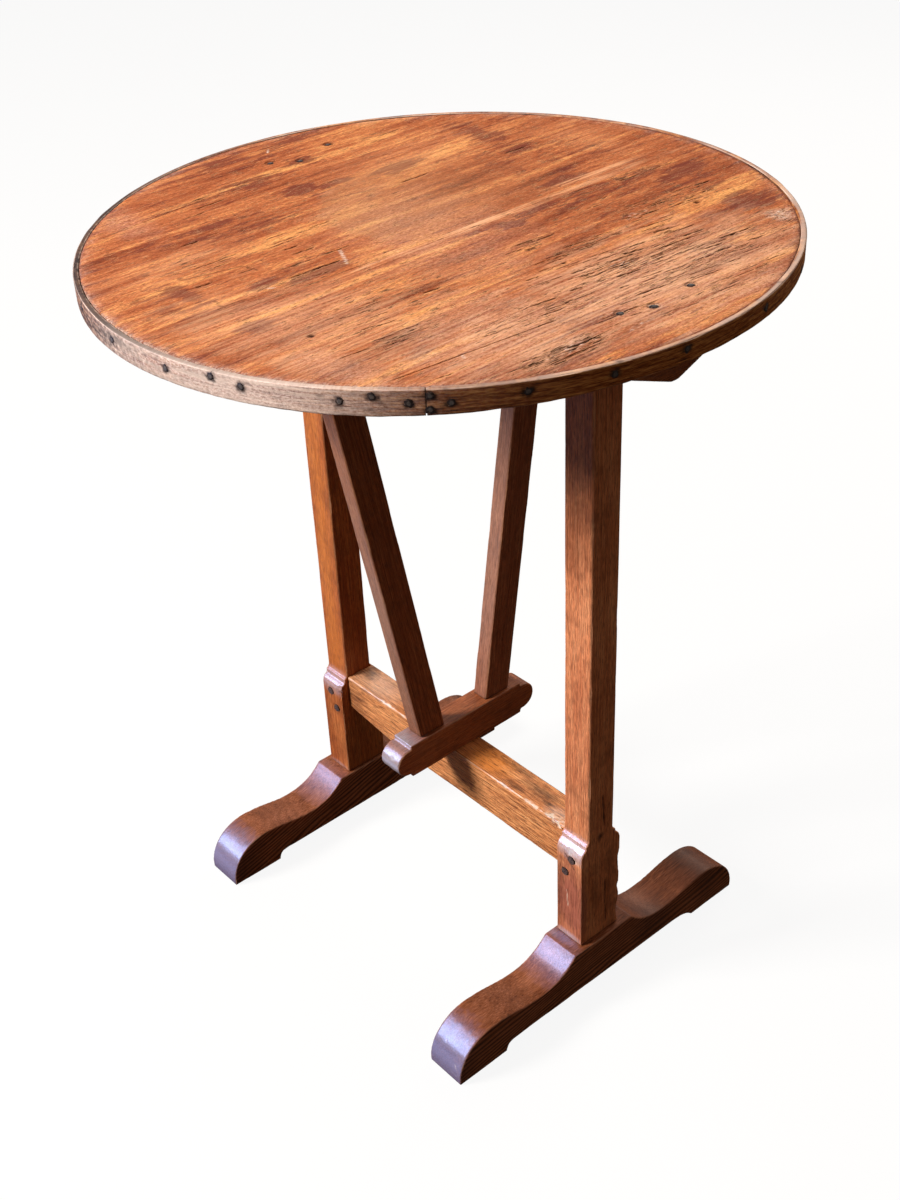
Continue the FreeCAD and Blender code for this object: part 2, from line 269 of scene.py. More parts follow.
# sizes of what planing and wear leave, and their depths, in mm
wearLook = {"rub": 14, "rubAlong": 34, "fine": 4, "wave": 70, "waveDepth": 0.2, "crack": 0.9, "scratch": 0.2,
            "seam": 1.5}


# hand-worked and worn: evenly meshed along its own length, planed a little wavy,
# arrises rubbed, nicked and chipped, and marked where it is polished and a sheen is painted
def wearDown(piece, look):
    upright = Matrix.Rotation(math.atan(look["lean"]), 4, "X")
    piece.data.transform(upright)
    applyModifier(piece, "REMESH", mode="VOXEL", voxel_size=look["voxel"] * mm, use_smooth_shade=True)
    applyModifier(piece, "SMOOTH", factor=0.5, iterations=look["smooth"])
    piece.data.transform(upright.inverted())
    mesh = piece.data
    place = readPoints(mesh, "co")
    normal = readPoints(mesh, "normal")
    flat = np.abs(normal[:, look["sides"]])
    arris = arrisMask(flat, 0.15)
    size = [wearLook["rubAlong" if axis == look["grain"] else "rub"] for axis in "XYZ"]
    rub = clamp(0.5 + grainNoise(place, size, look["seed"]))
    fine = grainNoise(place, [wearLook["fine"]] * 3, look["seed"] + 7)
    wave = grainNoise(place, [wearLook["wave"]] * 3, look["seed"] + 3)
    nick = clamp(2.6 * (rub - 0.62) + 0.5 * fine)
    depth = arris * (0.15 + 0.25 * rub + 0.8 * nick) * look["wear"] + wearLook["waveDepth"] * wave
    bare = np.zeros(len(place))
    for spot, reach, dig, pale in look.get("chips", []):
        hollow = clamp(1.15 - spotAway(place, spot, reach) + 0.4 * fine)
        depth += dig * hollow
        bare = np.maximum(bare, pale * clamp(1.7 * hollow * (0.55 + 1.6 * fine)))
    grime = spotMask(place, look.get("marks", []), 1.2, 0.3 * fine)
    # dark cracks, and pale scratches
    for start, end, wide, pale in look.get("checks", []):
        start, end = np.array(start) * mm, np.array(end) * mm
        run = clamp((place - start) @ (end - start) / np.sum((end - start) ** 2))
        line = start + run[:, None] * (end - start)
        away = np.linalg.norm(place - line, axis=1) / (wide * mm) + 0.5 * fine
        cut = clamp(1.7 - away) * clamp(8 * np.minimum(run, 1 - run))
        depth += wearLook["scratch" if pale else "crack"] * cut
        bare = np.maximum(bare, pale * cut)
        grime = np.maximum(grime, (0 if pale else 0.95) * cut)
    for level in look.get("seams", []):
        settled = np.exp(-np.abs(place[:, 2] / mm - level) / wearLook["seam"])
        grime = np.maximum(grime, settled * (0.7 + 0.6 * fine))
    # polish: where the wax gloss and a painted sheen go
    polish = spotMask(place, look.get("glossAndSheenSpots", []), 1.4, 0.25 * wave + 0.15 * fine)
    # the painted sheen is kept off the faces along X, as the window lights the front
    polish *= clamp(1.25 - 1.7 * np.abs(normal[:, 0]))     # the window is in front
    writePoints(mesh, place - normal * depth[:, None] * mm)
    paint(mesh, polish=polish, bare=bare, sawn=0.15 + 0.85 * flat ** 2, grime=np.clip(grime, 0, 0.92),
          tint=spotMask(place, look.get("tints", []), 1.4, 0.4 * wave + 0.25 * fine),
          rubbed=arris * (0.2 + 0.5 * rub + nick) * look["pick"])


# what every piece of the trestle shares, the colour and amount of its painted sheen among it; lengths in mm
walnut = {
    "dark": "#76391d", "mid": "#ac6540", "pale": "#d08f62", "pore": "#4a2413", "soil": "#5a2c17",
    "rubbed": "#d8a682", "bare": "#dcc6b4", "tint": "#c9772f", "scuffAndSheenColour": "#b6b6c4", "grime": "#1c0d07",
    "grain": "Z", "cross": "Y", "lean": 0.0, "tilt": 0.0, "band": 5.0, "rings": 0.03,
    "pores": 0.55, "dirtAndShade": 0.5, "rough": 0.4, "wax": 0.04, "shine": 1.0, "gloss": 0.22, "scuffAndSheen": 0.35,
    "voxel": 1.05, "smooth": 1, "wear": 0.8, "pick": 0.5, "sides": 0, "body": "frame", "slot": "frame_wood",
}
# the feet: darker wood, and a bluer painted sheen at the toes
footWood = {
    "dark": "#34170a", "mid": "#794428", "pale": "#a1664a", "rubbed": "#b08468", "scuffAndSheenColour": "#8796d2",
    "tint": "#3a2018", "grain": "Y", "cross": "Z", "rings": 0.24, "pores": 0.3, "wax": 0.06, "scuffAndSheen": 0.3,
    "pick": 0.65,
}
gateWood = {"body": "gate", "dark": "#5a2a14", "mid": "#8e4f2e", "pale": "#ab6c45", "pick": 0.45}
strutWood = {**gateWood, "shine": 0.1, "wax": 0.03, "seams": [222.4]}
cleatWood = {**gateWood, "body": "top", "grain": "Y", "voxel": 1.1, "smooth": 5, "wear": 0.15}

# the trestle and the gate: what each piece is cut from and how it has worn.
# Spots are place, reach, strength; chips are place, reach, depth, paleness; checks are two ends, width, paleness
# Polished spots take the wax gloss and a painted sheen.
frameLooks = {
    "left_post": {
        "seed": 1.3, "shift": (40, 12, 90), "seams": [60.2], "scuffAndSheen": 0.4,
        "mid": "#98512a", "pale": "#bc7745", "tints": [((-178, -16, 340), (14, 6, 170), 0.5)],
        "glossAndSheenSpots": [((-178, -25, 176), (26, 14, 12), 0.9), ((-178, -26, 62), (16, 4, 4), 0.6)],
        "chips": [((-161.5, -25, 168), (7, 6, 9), 2.2, 0.0), ((-161.5, -25, 152), (4, 5, 12), 1.6, 0.0)],
    },
    "right_post": {
        "seed": 5.1, "shift": (-25, 60, 10), "seams": [60.2], "scuffAndSheen": 0.6,
        "dark": "#824225", "mid": "#bd724b", "pale": "#dd9b70",
        # the purplish tint on the base front is partly a painted bluish reflection
        "tint": "#8c5048", "tints": [((178, -25, 112), (24, 6, 48), 0.7)],
        "glossAndSheenSpots": [((178, -25, 176), (26, 14, 12), 1.0), ((176, -26, 62), (17, 5, 5), 0.7)],
        "chips": [((193.5, 25.3, 74), (14, 5, 15), 2.6, 0.0), ((193.5, 24, 140), (9, 5, 12), 1.8, 0.0),
                  ((193.5, 25.3, 106), (5, 3, 7), 1.5, 0.0), ((180, -25, 171), (6, 4, 4), 0.8, 0.7),
                  ((188, -25, 163), (5, 3, 3), 0.5, 0.6)],
        "marks": [((193.5, -1, 186), (4, 5, 5), 0.85), ((193.5, 12, 150), (3, 7, 16), 0.4),
                  ((164, -25, 110), (7, 4, 60), 0.35), ((193.5, -8, 120), (3, 5, 30), 0.35)],
        "checks": [((193.5, 4, 196), (193.5, 1, 236), 0.6, 0), ((193.5, 8, 70), (193.5, 6, 130), 0.45, 0),
                   ((170, -25, 168), (186, -25, 150), 0.5, 0), ((176, -25.3, 100), (174, -25.3, 122), 0.4, 0.6)],
    },
    "left_foot": {
        **footWood, "tilt": 0.26, "seed": 8.2, "shift": (10, 70, 5),
        "glossAndSheenSpots": [((-179, -188, 18), (60, 34, 40), 0.9), ((-179, -52, 52), (60, 22, 20), 0.5)],
        "tints": [((-179, -190, 18), (60, 36, 44), 0.6), ((-179, 110, 40), (60, 60, 40), 0.4)],
    },
    "right_foot": {
        **footWood, "tilt": 0.1, "seed": 2.7, "shift": (33, 20, 61),
        "glossAndSheenSpots": [((179, -188, 18), (60, 36, 42), 1.0), ((179, -52, 52), (60, 22, 20), 0.55),
                     ((172, -31, 60), (20, 6, 4), 0.9)],
        "tints": [((179, -190, 18), (60, 38, 46), 0.6), ((179, 70, 40), (60, 34, 40), 0.5),
                  ((179, 150, 40), (60, 14, 40), 0.4)],
        "checks": [((158, -186, 12), (196, -188, 8), 0.6, 0.7), ((154, -180, 30), (166, -188, 8), 0.5, 0.6),
                   ((190, -186, 20), (200, -188, 6), 0.5, 0.6), ((170, -178, 34), (180, -186, 18), 0.4, 0.5)],
    },
    "stretcher": {
        "slot": "stretcher_wood", "grain": "X", "cross": "Z", "sides": 1, "seed": 4.4,
        "shift": (70, 8, 3), "pick": 0.95, "wax": 0.12, "rings": 0.06, "pores": 0.8, "scuffAndSheen": 0.4,
        "dark": "#6f3c1d", "mid": "#c27c4c", "pale": "#ebad74", "rubbed": "#e8cdb2", "bare": "#e9dccd",
        "scuffAndSheenColour": "#cdb8a6", "tints": [((42, 2, 185), (26, 18, 5), 0.75), ((-60, 0, 185), (40, 14, 4), 0.3)],
        # the greyish sheen coat at the left end stands for dust; near the gate it is a painted sheen
        "glossAndSheenSpots": [((-128, 0, 185), (34, 18, 4), 0.7), ((146, -8, 185), (14, 8, 4), 0.7)],
        "chips": [((146, -15.3, 185), (14, 6, 5), 1.6, 0.8), ((118, -15.3, 185), (14, 2.6, 2.6), 1.0, 0.6),
                  ((80, -15.3, 185), (14, 1.8, 1.8), 0.6, 0.5), ((-96, -15.3, 185), (14, 2.4, 2.4), 0.8, 0.7),
                  ((-60, -15.3, 185), (16, 2.2, 2.2), 0.6, 0.7)],
        "marks": [((112, 4, 185), (30, 8, 3), 0.6), ((70, 12, 185), (36, 5, 3), 0.5),
                  ((90, -8, 185), (14, 3, 2), 0.65), ((-148, 6, 185), (12, 12, 3), 0.7),
                  ((-80, 12, 185), (60, 4, 3), 0.45), ((128, -3, 185), (9, 3, 2), 0.8),
                  ((-150, -15, 140), (12, 4, 8), 0.5), ((-150, -15.3, 160), (14, 4, 26), 0.4)],
    },
    "gate_bottom_bar": {
        **gateWood, "grain": "Y", "cross": "Z", "voxel": 0.9, "seed": 6.6, "shift": (12, 5, 44),
        "wax": 0.15, "scuffAndSheen": 0.6, "scuffAndSheenColour": "#98a2b6", "chips": [((-3.5, -88, 214), (9, 5, 6), 0.5, 0.5)],
        "glossAndSheenSpots": [((-3.5, -88, 200), (30, 14, 26), 1.0), ((-3.5, -74, 222), (30, 22, 5), 0.9)],
    },
    "gate_front_strut": {
        **strutWood, "lean": -0.182, "seed": 9.4, "shift": (5, 31, 7), "scuffAndSheen": 0.8,
        "dark": "#4c2211", "mid": "#804527", "pale": "#9c623e", "scuffAndSheenColour": "#a08c7c",
        "glossAndSheenSpots": [((-3.5, -50, 440), (30, 90, 240), 0.4)],
    },
    "gate_rear_strut": {
        **strutWood, "lean": 0.154, "seed": 7.7, "shift": (51, 3, 17), "scuffAndSheen": 0.7,
        "dark": "#5a2c18", "mid": "#885036", "pale": "#a56f50", "scuffAndSheenColour": "#a28f86",
        "glossAndSheenSpots": [((-3.5, 50, 440), (30, 90, 240), 0.35)],
    },
    "gate_top_rail": {**gateWood, "grain": "Y", "voxel": 1.6, "seed": 3.2, "shift": (2, 44, 9)},
    "left_cleat": {**cleatWood, "seed": 1.9, "shift": (9, 9, 30)},
    "right_cleat": {**cleatWood, "seed": 2.2, "shift": (19, 2, 80)},
}

for nodeName, own in frameLooks.items():
    look = {**walnut, **own}
    piece = copyNode(nodeName)
    wearDown(piece, look)
    finishPiece(piece, nodeName + "_worn", waxedWalnut("waxedWalnut_" + nodeName, look), look["body"],
                look["slot"], nodeName)
    print("worn piece:", nodeName, len(piece.data.polygons), "faces")


# Forged iron, hammered and left to rust: nearly black, with brown bloom and dull edges; rust isn't metallic
def forgedIron():
    material, add = newMaterial("forgedIron")
    spot = add("TexCoord").outputs["Object"]
    bloom = add("TexNoise", {"Scale": 1 / (2.2 * mm), "Detail": 4, "Roughness": 0.65}, {"Vector": spot})
    rust = add("ValToRGB", {"stops": [(0.35, "#120d0b"), (0.56, "#2b201b"), (0.7, "#66564d")]}, {"Fac": bloom})
    worn = add("Attribute", {"attribute_name": "worn"}).outputs["Fac"]
    finishMaterial(add, {"Metallic": 0.0, "Specular IOR Level": 0.12}, rust, [(worn, "#8b8583")],
                   (bloom, 0.5, 0.85), (bloom, 0.5, 0.3))
    return material


# the middle of each separate solid in a CAD node
def solidMiddles(nodeName):
    copyNode(nodeName)
    openMesh("SELECT")
    bpy.ops.mesh.separate(type="LOOSE")
    shutMesh()
    boxes = []
    for part in list(bpy.context.selected_objects):
        points = readPoints(part.data, "co")
        boxes.append((points.min(0), points.max(0)))
        bpy.data.objects.remove(part)
    boxes.sort(key=lambda box: tuple(np.round(box[0], 5)))
    return [(low + high) / 2 for low, high in boxes]


ironMaterial = forgedIron()
# the heads, in mm: how deep each sits, and the share of its size that the hammer has dented
rimHead = {"radius": 4.1, "height": 0.7, "sides": 7, "sunk": 0.35, "dent": 0.34}
topHead = {"radius": 4.3, "height": 1.1, "sides": 8, "sunk": 1.05, "dent": 0.2}


# one hammered head, facing along +X at the origin
def makeNailHead(look):
    radius, height = look["radius"] * mm, look["height"] * mm
    bpy.ops.mesh.primitive_cone_add(vertices=look["sides"], radius1=radius, radius2=0.45 * radius,
                                    depth=height, location=(0, 0, 0.5 * height))
    head = bpy.context.active_object
    openMesh("SELECT")
    bpy.ops.mesh.bevel(offset=0.35 * mm, segments=2, affect="EDGES")
    bpy.ops.mesh.subdivide(number_cuts=2)
    shutMesh()
    bpy.ops.object.shade_smooth()
    bpy.ops.object.transform_apply(location=True, rotation=True, scale=True)
    points = readPoints(head.data, "co")
    paint(head.data, worn=0.6 * clamp(1.5 - np.hypot(points[:, 0], points[:, 1]) / (0.3 * radius)))
    head.data.transform(Matrix.Rotation(math.pi / 2, 4, "Y"))
    return head


# copies of one head, each turned and dented its own way, joined into one piece
def spreadHeads(look, places, name, node):
    head = makeNailHead(look)
    copies = []
    for number, (spot, turn) in enumerate(places):
        selectOnly(head)
        bpy.ops.object.duplicate()
        copy = bpy.context.active_object
        copy.data.transform(Matrix.Rotation(dice.uniform(0, 6.28), 4, "X"))
        points = readPoints(copy.data, "co")
        points *= 1 + look["dent"] * grainNoise(points, (2.5, 2.5, 2.5), number * 5.3)[:, None]
        writePoints(copy.data, points)
        copy.data.transform(Matrix.Translation(spot) @ turn)
        copies.append(copy)
    bpy.data.objects.remove(head)
    for copy in copies:
        copy.select_set(True)
    bpy.context.view_layer.objects.active = copies[0]
    bpy.ops.object.join()
    finishPiece(bpy.context.active_object, name, ironMaterial, "top", "iron", node)


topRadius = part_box("rim_band")[1].y
hoopNails = [(math.atan2(y, x), float(z)) for x, y, z in solidMiddles("rim_nails")]
seat = topRadius - rimHead["sunk"] * mm
rimPlaces = [(Vector((seat * math.cos(a), seat * math.sin(a), z)), Matrix.Rotation(a, 4, "Z"))
             for a, z in hoopNails]
spreadHeads(rimHead, rimPlaces, "hoop_nail_heads", "rim_nails")
flushNails = [middle[:2] for middle in solidMiddles("cleat_nails")]
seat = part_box("cleat_nails")[1].z - topHead["sunk"] * mm
flushPlaces = [(Vector((x, y, seat)), Matrix.Rotation(-math.pi / 2, 4, "Y")) for x, y in flushNails]
spreadHeads(topHead, flushPlaces, "top_nail_heads", "cleat_nails")
print("nails:", len(hoopNails), "in the hoop,", len(flushNails), "in the top")


# Old pine boards, scrubbed and waxed for years: orange-brown, red-brown stains that follow the fibres,
# short black cracks with pale lips, painted highlights, where the grain has torn, a thin uneven polish,
# and broad pale washes at the front and the right that are painted light
def scrubbedPine():
    material, add = newMaterial("scrubbedPine")
    spot = add("TexCoord").outputs["Object"]
    stain, haze, pale, dust, torn, tear = (
        add("Attribute", {"attribute_name": part}).outputs["Fac"]
        for part in ("stain", "haze", "pale", "dust", "torn", "tear"))
    # width, length and shift in mm, then detail, roughness and distortion
    bands, streaks, fibres, speck, patch, grain = (
        grainTexture(add, spot, (width, length, 30), shift, detail, rough, bent)
        for width, length, shift, detail, rough, bent in (
            (24, 200, (0, 0, 0), 5, 0.6, 0.5), (5, 62, (31, 0, 0), 5, 0.7, 0), (1.1, 11, (7, 9, 0), 3, 0.65, 0),
            (1.5, 3.6, (5, 1, 0), 3, 0.75, 0), (7, 50, (0, 40, 0), 7, 0.75, 0.2), (1, 15, (3, 3, 0), 2, 0.6, 0)))
    figure = add("Math", {"operation": "MULTIPLY_ADD", 1: 0.5}, {0: streaks, 2: bands})
    fine = add("Math", {"operation": "MULTIPLY_ADD", 1: 0.45}, {0: fibres, 2: figure})
    soaked = add("Math", {"operation": "MULTIPLY_ADD", 1: 0.34}, {0: stain, 2: patch})
    feathered = add("Math", {"operation": "MULTIPLY_ADD", 1: 0.16}, {0: fibres, 2: soaked})
    strain = add("Math", {"operation": "MULTIPLY_ADD", 1: 0.12}, {0: torn, 2: grain})
    # each takes a noise between two values to between two others
    tone, shade, redden, flake, highlightLip, crack = (
        add("MapRange", {"From Min": start, "From Max": end, "To Min": least, "To Max": most}, {"Value": source})
        for source, start, end, least, most in (
            (fine, 0.71, 1.22, 0, 1), (speck, 0.3, 0.7, 0.58, 1.42), (feathered, 0.64, 0.71, 0, 0.76),
            (speck, 0.4, 0.6, 0.2, 1.5), (strain, 0.6, 0.635, 0, 0.45), (strain, 0.65, 0.68, 0, 0.85)))
    wood = add("ValToRGB", {"stops": [
        (0.0, "#5f2a1b"), (0.3, "#98502f"), (0.6, "#ba6d43"), (1.0, "#efac69")]}, {"Fac": tone})
    wood = add("Mix", {"data_type": "RGBA", "blend_type": "MULTIPLY", 0: 1.0}, {6: wood, 7: shade})
    flaked = add("Math", {"operation": "MULTIPLY", "use_clamp": True}, {0: dust, 1: flake})
    # the lip is a painted highlight round each crack; the pale and dust coats carry painted light at the front and
    # the right as well
    coats = [(redden, "#6a3027"), (haze, "#b5855f"), (pale, "#f0b488"), (flaked, "#e6d0c2"),
             (highlightLip, "#efbb8a"), (crack, "#35140a"), (tear, "#220c06")]
    worked = add("Math", {"operation": "ADD"}, {0: speck, 1: fine})
    height = add("Math", {"operation": "MULTIPLY_ADD", 1: -1.5}, {0: crack, 2: worked})
    finishMaterial(add, {"Specular IOR Level": 0.06}, wood, coats, (patch, 0.8, 0.95), (height, 0.85, 0.8))
    return material


hoopThick = 5.0
# the boards, in mm: joints cross the middle line at a place and with a slant
boardLook = {
    "joints": [(-204.5, -0.088), (19.5, 0.01), (205.0, 0.09)],
    "shut": 0.08, "open": 0.8, "openFrom": -208, "openTo": -58, "openFade": 12, "rimGap": 0.35, "soft": 0.25,
    "column": 0.62, "row": 2.0, "mostColumns": 300, "rimColumns": 1.6, "rimCrowd": 1.5,
    "nailSeat": 4.9, "nailRing": 4.5, "nailDepth": 0.75, "scratch": 0.8, "rimDrop": 0.5,
}

# what has happened to the top, and the light painted on it, in mm: places as x, y
topMarks = {
    # x, y, half width, half length, how many deep tears
    "tearZones": [
        (104, 160, 18, 56, 16), (117, 60, 7, 44, 10), (86, 22, 9, 20, 8), (165, 66, 30, 66, 34),
        (210, 66, 18, 66, 22), (240, -92, 12, 42, 16), (150, -6, 20, 24, 9), (196, 128, 16, 20, 9),
        (234, -30, 12, 16, 6), (140, 112, 16, 30, 10), (-40, -150, 30, 50, 8), (-100, -110, 30, 50, 6),
        (246, 60, 8, 70, 8), (140, -154, 9, 20, 9), (120, 16, 5, 14, 5), (38, 180, 6, 44, 6),
        (-22, -105, 3, 24, 3), (4, -118, 8, 26, 8), (-198, -80, 6, 50, 7), (-212, 112, 5, 16, 4),
        (60, 118, 7, 30, 3), (100, -120, 30, 60, 10), (-78, -165, 4, 20, 3), (180, -60, 12, 50, 8),
        (22, 60, 3, 90, 6), (0, 0, 260, 220, 16)],
    # x, y, half width, half length, how strained the grain is there
    "tornZones": [
        (104, 160, 20, 62, 0.75), (117, 50, 9, 46, 0.8), (88, 20, 10, 24, 0.7), (170, 66, 20, 76, 1.0),
        (208, 70, 14, 74, 0.9), (240, -92, 14, 48, 1.0), (246, 60, 10, 74, 0.7), (142, -150, 9, 34, 0.8),
        (38, 180, 9, 52, 0.7), (-22, -105, 5, 30, 0.7), (4, -155, 14, 34, 0.7), (-198, -80, 8, 60, 0.7),
        (-212, 112, 7, 22, 0.7), (90, -110, 60, 90, 0.45), (180, -60, 26, 60, 0.6), (-60, 190, 70, 40, 0.3),
        (-110, -60, 60, 90, 0.25), (-80, -175, 30, 40, 0.4), (60, 110, 60, 60, 0.35), (200, 180, 40, 50, 0.5)],
    # x, y, radius, depth
    "pits": [(91, -196, 2.8, 1.2), (122, 175, 2.6, 1.6), (-212, 24, 3.0, 1.4), (-228, 68, 3.6, 0.4),
             (131, 14, 1.8, 0.6)],
    # from here x, y, half width, half length, strength
    "stains": [
        (-151, -20, 13, 16, 0.8), (-140, 6, 7, 26, 0.5), (-131, 70, 9, 34, 0.75), (-150, 178, 40, 16, 0.5),
        (-88, 172, 10, 20, 0.6), (-140, -122, 9, 26, 0.6), (-9, -163, 7, 16, 0.8), (4, -118, 8, 30, 0.8),
        (48, -216, 14, 18, 0.6), (138, -154, 9, 18, 0.7), (166, -160, 8, 12, 0.5), (46, 47, 8, 20, 0.55),
        (0, 142, 9, 26, 0.6), (64, 232, 12, 30, 0.6), (70, 200, 20, 50, 0.3), (48, 105, 9, 30, 0.4),
        (-70, 165, 60, 50, 0.2), (-110, -100, 24, 70, 0.22), (-38, -217, 26, 10, 0.6), (-262, -10, 26, 80, 0.35),
        (-212, 24, 12, 14, 0.6), (-200, -60, 16, 90, 0.3), (215, -60, 14, 40, 0.35), (150, 200, 20, 40, 0.35),
        (190, 110, 16, 50, 0.35), (-14, -240, 50, 30, 0.2), (-140, -190, 12, 70, 0.25), (36, 90, 7, 120, 0.32),
        (44, 165, 12, 56, 0.4), (152, 196, 14, 44, 0.5), (-268, 60, 14, 60, 0.4)],
    # pale grain streaks; the broad washes at the front and the right are painted light, to even out the lamp
    "pale": [
        (24, 70, 5, 160, 1.1), (12, 175, 6, 50, 0.8), (30, -110, 7, 60, 0.4), (104, -235, 50, 14, 0.5),
        (40, -250, 40, 12, 0.4), (-150, 100, 40, 90, 0.2), (-60, 230, 60, 24, 0.2), (150, 40, 40, 90, 0.1),
        (110, -30, 50, 50, 0.15), (-90, -190, 30, 60, 0.3), (60, -150, 16, 50, 0.3), (110, -170, 110, 80, 0.45),
        (20, -225, 60, 40, 0.45), (195, 40, 70, 130, 0.75), (200, -100, 60, 70, 0.65), (60, -60, 60, 60, 0.15)],
    # dust; the faint broad washes at the right and the front are painted light
    "dust": [
        (190, 196, 12, 12, 0.55), (234, -81, 8, 26, 0.28), (234, 2, 8, 6, 0.35), (-205, -170, 50, 20, 0.12),
        (10, -10, 105, 70, 0.1), (262, 70, 12, 90, 0.18), (150, -215, 60, 24, 0.14), (205, 40, 70, 150, 0.17),
        (190, -100, 70, 80, 0.17), (70, -190, 70, 60, 0.08)],
    # crumbled wood
    "crumbs": [(164, 43, 9, 12, 0.9), (232, 2, 5, 8, 1.0), (240, -86, 7, 26, 0.9), (187, 196, 10, 12, 0.7),
               (104, 120, 5, 14, 0.6), (248, -30, 5, 16, 0.5)],
    "haze": (-50, 60, 100, 122, 0.34),
    # two ends of each pale scratch and each dark score
    "scratches": [((-18, -84), (7, -97)), ((193, -145), (197, -147)), ((-258, 22), (-252, 17)),
                  ((0, -167), (3, -164))],
    "scores": [((-63, -205), (-50, -155)), ((-50, -155), (-35, -152)), ((-11, -209), (2, -211)),
               ((2, -211), (4, -190))],
}


def softSpots(x, y, spots, wobble):
    total = np.zeros(len(x))
    for cx, cy, halfWidth, halfLength, strength in spots:
        away = np.hypot((x - cx) / halfWidth, (y - cy) / halfLength)
        total = np.maximum(total, strength * clamp(1.35 - away + 0.7 * wobble))
    return total


# each tear: place, columns wide, length, depth, and where along it the step to the next fibre comes
def scatterTears(zones):
    tears = []
    for cx, cy, halfWidth, halfLength, count in zones:
        for _ in range(count):
            length = dice.uniform(9, 26) * dice.uniform(0.6, 1.7)
            tears.append((cx + dice.uniform(-1, 1) * halfWidth, cy + dice.uniform(-1, 1) * halfLength,
                          dice.choice((1, 1, 1, 2)), length, dice.uniform(0.4, 1.0), dice.uniform(-0.3, 0.3)))
    return tears


# thin straight lines across the top
def lineMask(x, y, lines, strength):
    total = np.zeros(len(x))
    for (ax, ay), (bx, by) in lines:
        run = clamp(((x - ax) * (bx - ax) + (y - ay) * (by - ay)) / ((bx - ax) ** 2 + (by - ay) ** 2))
        away = np.hypot(x - ax - run * (bx - ax), y - ay - run * (by - ay))
        total = np.maximum(total, strength * clamp(1.5 - away / boardLook["scratch"]))
    return total


topTears = scatterTears(topMarks["tearZones"])
boardUnder, boardTop = (corner.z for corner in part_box("top_board_2"))
boardRadius = topRadius - hoopThick * mm - boardLook["rimGap"] * mm


# down to the underside, and shut there
def closeBoard(board):
    openMesh("SELECT")
    bpy.ops.mesh.remove_doubles(threshold=0.001 * mm)
    bpy.ops.mesh.select_all(action="DESELECT")
    bpy.ops.mesh.select_non_manifold()
    bpy.ops.mesh.extrude_region_move(TRANSFORM_OT_translate={"value": (0, 0, boardUnder - boardTop)})
    bpy.ops.transform.resize(value=(1, 1, 0), center_override=(0, 0, boardUnder))
    bpy.ops.mesh.edge_face_add()
    bpy.ops.mesh.select_all(action="SELECT")
    bpy.ops.mesh.normals_make_consistent(inside=False)
    shutMesh()
    bpy.ops.object.shade_smooth_by_angle(angle=math.radians(35))


